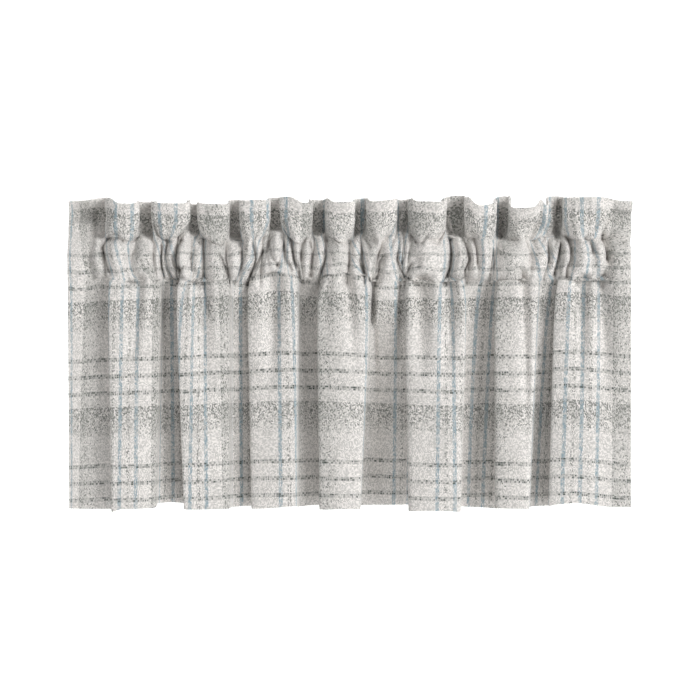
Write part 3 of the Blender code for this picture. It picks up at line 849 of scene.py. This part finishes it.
STRONG_HALF = 0.95 * MM  # half the height of a strong dash and a weak one
WEAK_HALF = 0.85 * MM
HAZE_HALF = 2.3 * MM  # half the height of the faint shade on a dark line
HAZE = 0.20
GATHERED_FOOT = 112.0 * MM  # the lines are unsteady above this place on the cloth
GATHERED_FADE = 15.0 * MM
WANDER = 7.0 * MM  # how far they stray there
SWAY = 4.0 * MM  # how far the dashes stray along their line

GROUND = (0.855, 0.822, 0.792, 1.0)
GROUND_SHADE = (0.575, 0.558, 0.535, 1.0)
GREY = (0.12, 0.13, 0.115, 1.0)
DARK = (0.075, 0.09, 0.08, 1.0)
BLUE = (0.285, 0.368, 0.412, 1.0)
GREY_MOST = 0.79  # share of grey in a slub
SLUBS_EVERYWHERE = 0.05  # share of grey slubs outside the bands
WARP_SLUBS = 0.36  # how much larger it is where a band starts
WARP_TINT = 0.42  # and how much grey every yarn has there
WEFT_SLUBS = 0.80
WEFT_TINT = 0.38
CROSSED_TINT = 0.19  # the same of the weft yarns across a warp band
CLOTH_FINISH = {
    "Roughness": 0.92,
    "Specular IOR Level": 0.15,
    "Sheen Weight": 0.2,
    "Sheen Roughness": 0.6,
}


def new_material(name):
    material = bpy.data.materials.new(name)
    material.use_nodes = True
    return material, material.node_tree.nodes["Principled BSDF"].inputs


def plaid_material():
    material, shader = new_material("plaid cloth")
    nodes = material.node_tree.nodes
    links = material.node_tree.links

    def feed(sockets, values):
        for socket, value in zip(sockets, values):
            if isinstance(value, (tuple, int, float)):
                socket.default_value = value
            else:
                links.new(value, socket)

    def maths(operation, *values, clamp=False):
        node = nodes.new("ShaderNodeMath")
        node.operation = operation
        node.use_clamp = clamp
        feed(node.inputs, values)
        return node.outputs[0]

    def times(first, second, clamp=False):
        return maths("MULTIPLY", first, second, clamp=clamp)

    def times_add(first, second, third, clamp=False):
        return maths("MULTIPLY_ADD", first, second, third, clamp=clamp)

    def fraction(value):
        return maths("FRACT", value)

    def whole(value):
        return maths("FLOOR", value)

    def ramp(high, low, steepness):
        """Rises from 0, where high is low, to 1."""
        return times(maths("SUBTRACT", high, low), steepness, clamp=True)

    def mix(factor, first, second):
        node = nodes.new("ShaderNodeMix")
        node.data_type = "RGBA"
        feed((node.inputs[0], node.inputs[6], node.inputs[7]), (factor, first, second))
        return node.outputs[2]

    uv = nodes.new("ShaderNodeUVMap")
    uv.uv_map = "plaid"
    split = nodes.new("ShaderNodeSeparateXYZ")
    links.new(uv.outputs["UV"], split.inputs[0])
    u, v = split.outputs[0], split.outputs[1]

    def noise(scale_u, scale_v, detail=0.0):
        scale = nodes.new("ShaderNodeVectorMath")
        scale.operation = "MULTIPLY"
        feed(scale.inputs, (uv.outputs["UV"], (scale_u, scale_v, 1.0)))
        node = nodes.new("ShaderNodeTexNoise")
        node.inputs["Scale"].default_value = 1.0
        node.inputs["Detail"].default_value = detail
        links.new(scale.outputs[0], node.inputs["Vector"])
        return node.outputs["Fac"]

    def chance(first, second, draw):
        """An even random value for each whole cell; draw tells one use from the next."""
        cell = nodes.new("ShaderNodeCombineXYZ")
        feed(cell.inputs, (first, second, draw))
        node = nodes.new("ShaderNodeTexWhiteNoise")
        node.noise_dimensions = "3D"
        links.new(cell.outputs[0], node.inputs["Vector"])
        return node.outputs["Value"]

    def in_repeat(coordinate, first, length):
        """Place after first, in lengths, starting again at each repeat."""
        place = maths("DIVIDE", maths("SUBTRACT", coordinate, first), REPEAT)
        return times(fraction(place), REPEAT / length)

    def band(coordinate, first):
        """1 at a sharp start, fading to 0 over its length, once a repeat."""
        fade = maths("SUBTRACT", 1.0, in_repeat(coordinate, first, BAND_LENGTH), clamp=True)
        return maths("POWER", fade, BAND_POWER)

    def lines(coordinate, first, half_width, count):
        """1 on lines a step apart, once a repeat."""
        place = in_repeat(coordinate, first - 0.5 * LINE_STEP, LINE_STEP)
        off_middle = maths("ABSOLUTE", maths("SUBTRACT", fraction(place), 0.5))
        edge = ramp(LINE_EDGE, times(off_middle, LINE_STEP / half_width), LINE_FADE)
        return times(edge, maths("LESS_THAN", place, count))

    # Tweedy weave: at each crossing the warp or the weft yarn lies on top.
    across_yarn = maths("DIVIDE", u, WARP_YARN)
    down_yarn = maths("DIVIDE", v, WEFT_YARN)
    warp_cell = whole(across_yarn)
    weft_cell = whole(down_yarn)
    warp_start = chance(warp_cell, 0.0, 1.0)
    weft_start = chance(0.0, weft_cell, 2.0)
    warp_slub = whole(times_add(warp_start, SLUB_START, times(down_yarn, WARP_SLUB)))
    weft_slub = whole(times_add(weft_start, SLUB_START, across_yarn))
    warp_chance = chance(warp_cell, warp_slub, 3.0)
    weft_chance = chance(weft_slub, weft_cell, 4.0)
    cell_chance = chance(warp_cell, weft_cell, 5.0)
    warp_over = maths("GREATER_THAN", chance(warp_cell, warp_slub, 8.0), 0.5)

    warp_band = band(u, WARP_FIRST + WARP_BAND_AFTER)
    weft_band = band(v, WEFT_FIRST + WEFT_BAND_AFTER)

    rib = maths("GREATER_THAN", fraction(maths("DIVIDE", v, RIB)), RIB_FROM)
    pale_share = times_add(rib, RIB_SHADE, ramp(cell_chance, 0.3, 2.2), clamp=True)
    pale = mix(pale_share, GROUND_SHADE, GROUND)

    def yarn_colour(cloth_band, slub_chance, slubs, tint):
        """Off-white yarn with grey slubs, more of them and tinted in the bands."""
        share = ramp(times_add(cloth_band, slubs, SLUBS_EVERYWHERE), slub_chance, 5.0)
        share = times_add(cloth_band, tint, share, clamp=True)
        return mix(times(share, GREY_MOST), pale, GREY)

    warp_colour = yarn_colour(warp_band, warp_chance, WARP_SLUBS, WARP_TINT)
    weft_colour = yarn_colour(weft_band, weft_chance, WEFT_SLUBS, WEFT_TINT)
    weft_colour = mix(times(warp_band, CROSSED_TINT), weft_colour, GREY)

    # Thin grey stripes between the blue ones, then the blue ones.
    stripe = lines(u, WARP_FIRST + 0.5 * LINE_STEP, STRIPE_HALF, 2.0)
    stripe = times(stripe, times_add(warp_chance, 1.1, -0.25), clamp=True)
    warp_colour = mix(stripe, warp_colour, GREY)
    blue = lines(u, WARP_FIRST, STRIPE_HALF, 3.0)
    blue_start = chance(warp_cell, 0.0, 11.0)
    fleck = whole(times_add(blue_start, BLUE_START, times(down_yarn, BLUE_FLECK)))
    blue_chance = chance(warp_cell, fleck, 12.0)
    warp_blue = times_add(blue_chance, 1.2, 0.2, clamp=True)
    warp_colour = mix(times(blue, warp_blue), warp_colour, BLUE)
    weft_blue = times_add(blue_chance, 0.8, times(weft_band, 0.15), clamp=True)
    weft_colour = mix(times(blue, weft_blue), weft_colour, BLUE)
    colour = mix(warp_over, weft_colour, warp_colour)

    # Dark weft lines: two rows of short dashes, one of them strong, by turns.
    gathered = maths("SUBTRACT", GATHERED_FOOT, v)
    gathered = maths("DIVIDE", gathered, GATHERED_FADE, clamp=True)
    wander = times(maths("SUBTRACT", noise(45.0, 14.0), 0.5), WANDER)
    place = times_add(wander, gathered, v)
    along = maths("DIVIDE", times_add(noise(60.0, 60.0), SWAY, u), DASH)
    dash_cell = whole(along)
    line_row = whole(maths("DIVIDE", v, LINE_STEP))
    odd = maths("GREATER_THAN", fraction(times(dash_cell, 0.5)), 0.25)
    side = times_add(odd, 2.0, -1.0)
    strong_row = lines(times_add(side, DASH_OFFSET, place), WEFT_FIRST, STRONG_HALF, 3.0)
    weak_row = lines(times_add(side, -DASH_OFFSET, place), WEFT_FIRST, WEAK_HALF, 3.0)
    strong = times_add(chance(dash_cell, line_row, 6.0), 0.85, 0.08, clamp=True)
    weak = ramp(chance(dash_cell, line_row, 7.0), 0.55, 2.4)
    dash_length = times_add(chance(dash_cell, line_row, 9.0), 0.7, 0.5)
    dashes = maths("MAXIMUM", times(strong, strong_row), times(weak, weak_row))
    dashes = times(dashes, ramp(dash_length, fraction(along), DASH_FADE))
    dashes = times(dashes, times_add(gathered, -0.25, 1.0))
    haze = times(lines(place, WEFT_FIRST, HAZE_HALF, 3.0), times(cell_chance, HAZE))
    colour = mix(haze, colour, DARK)
    colour = mix(dashes, colour, DARK)

    # Faint clouds of grey over everything.
    cloud = ramp(noise(30.0, 30.0, 2.0), 0.35, 0.25)
    links.new(mix(cloud, colour, GREY), shader["Base Color"])

    for name, value in CLOTH_FINISH.items():
        shader[name].default_value = value

    bump = nodes.new("ShaderNodeBump")
    bump.inputs["Strength"].default_value = 0.15
    bump.inputs["Distance"].default_value = 0.6 * MM
    links.new(cell_chance, bump.inputs["Height"])
    links.new(bump.outputs["Normal"], shader["Normal"])
    return material


# ---- stage, in metres

FLOOR_Z = -0.62
FLOOR_HALF = 6.0
BACKDROP_Y = 2.7
BACKDROP_TOP = 4.0
COVE_RADIUS = 0.5  # the floor curves up into the backdrop
COVE_STEPS = 12
FLOOR_COLOUR = (0.93, 0.93, 0.93, 1.0)
FLOOR_ROUGHNESS = 0.9

WORLD_COLOUR = (1.0, 1.0, 1.0, 1.0)
WORLD_STRENGTH = 0.28
CENTRE = (0.0, 0.0, -0.18)
# Area lights: name, place, aim, width and height, watts.
LIGHTS = [
    ("key", (3.4, -3.3, 1.3), CENTRE, (2.2, 2.2), 165.0),
    ("fill", (-1.2, -2.2, 0.5), CENTRE, (1.4, 1.4), 8.0),
    ("floor light", (0.0, 0.35, 1.4), (0.0, 1.6, -0.2), (2.6, 0.6), 30.0),
    ("backdrop light", (0.0, 1.3, 1.8), (0.0, BACKDROP_Y, 1.0), (3.0, 0.6), 60.0),
]

CAMERA_DISTANCE = 2.3
CAMERA_ELEVATION = math.radians(3.5)
CAMERA_AIM = (0.0008, 0.0, -0.1758)
METRES_PER_PIXEL = 1.18 * MM
IMAGE_PIXELS = 700
SENSOR = 36.0  # millimetres, as the lens is


def build_floor():
    profile = [(-FLOOR_HALF, FLOOR_Z)]
    for step in range(COVE_STEPS + 1):
        angle = 0.5 * math.pi * step / COVE_STEPS
        y = BACKDROP_Y - COVE_RADIUS + COVE_RADIUS * math.sin(angle)
        profile.append((y, FLOOR_Z + COVE_RADIUS - COVE_RADIUS * math.cos(angle)))
    profile.append((BACKDROP_Y, BACKDROP_TOP))
    vertices = [(side * FLOOR_HALF, y, z) for y, z in profile for side in (-1.0, 1.0)]
    faces = [(2 * i, 2 * i + 1, 2 * i + 3, 2 * i + 2) for i in range(len(profile) - 1)]
    mesh = bpy.data.meshes.new("floor")
    mesh.from_pydata(vertices, [], faces)
    mesh.shade_smooth()
    floor = new_object("floor", mesh)
    material, shader = new_material("pale floor")
    shader["Base Color"].default_value = FLOOR_COLOUR
    shader["Roughness"].default_value = FLOOR_ROUGHNESS
    floor.data.materials.append(material)


def aim(item, direction):
    item.rotation_euler = direction.to_track_quat("-Z", "Y").to_euler()


def build_lights():
    world = bpy.data.worlds.new("studio")
    bpy.context.scene.world = world
    world.use_nodes = True
    background = world.node_tree.nodes["Background"]
    background.inputs["Color"].default_value = WORLD_COLOUR
    background.inputs["Strength"].default_value = WORLD_STRENGTH
    for name, place, target, size, watts in LIGHTS:
        data = bpy.data.lights.new(name, "AREA")
        data.shape = "RECTANGLE"
        data.size, data.size_y = size
        data.energy = watts
        light = new_object(name, data)
        light.location = place
        aim(light, Vector(target) - Vector(place))
    bpy.context.scene.view_settings.view_transform = "Standard"


def build_camera():
    data = bpy.data.cameras.new("camera")
    data.sensor_width = SENSOR
    data.lens = SENSOR * CAMERA_DISTANCE / (METRES_PER_PIXEL * IMAGE_PIXELS)
    camera = new_object("camera", data)
    back = Vector((0.0, -math.cos(CAMERA_ELEVATION), math.sin(CAMERA_ELEVATION)))
    camera.location = Vector(CAMERA_AIM) + CAMERA_DISTANCE * back
    aim(camera, -back)
    bpy.context.scene.camera = camera


def main():
    build_camera()
    build_lights()
    build_floor()
    cloth = build_cloth()
    cloth.data.materials.append(plaid_material())
    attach(cloth, "root")
    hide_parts("heading", "panel")


main()
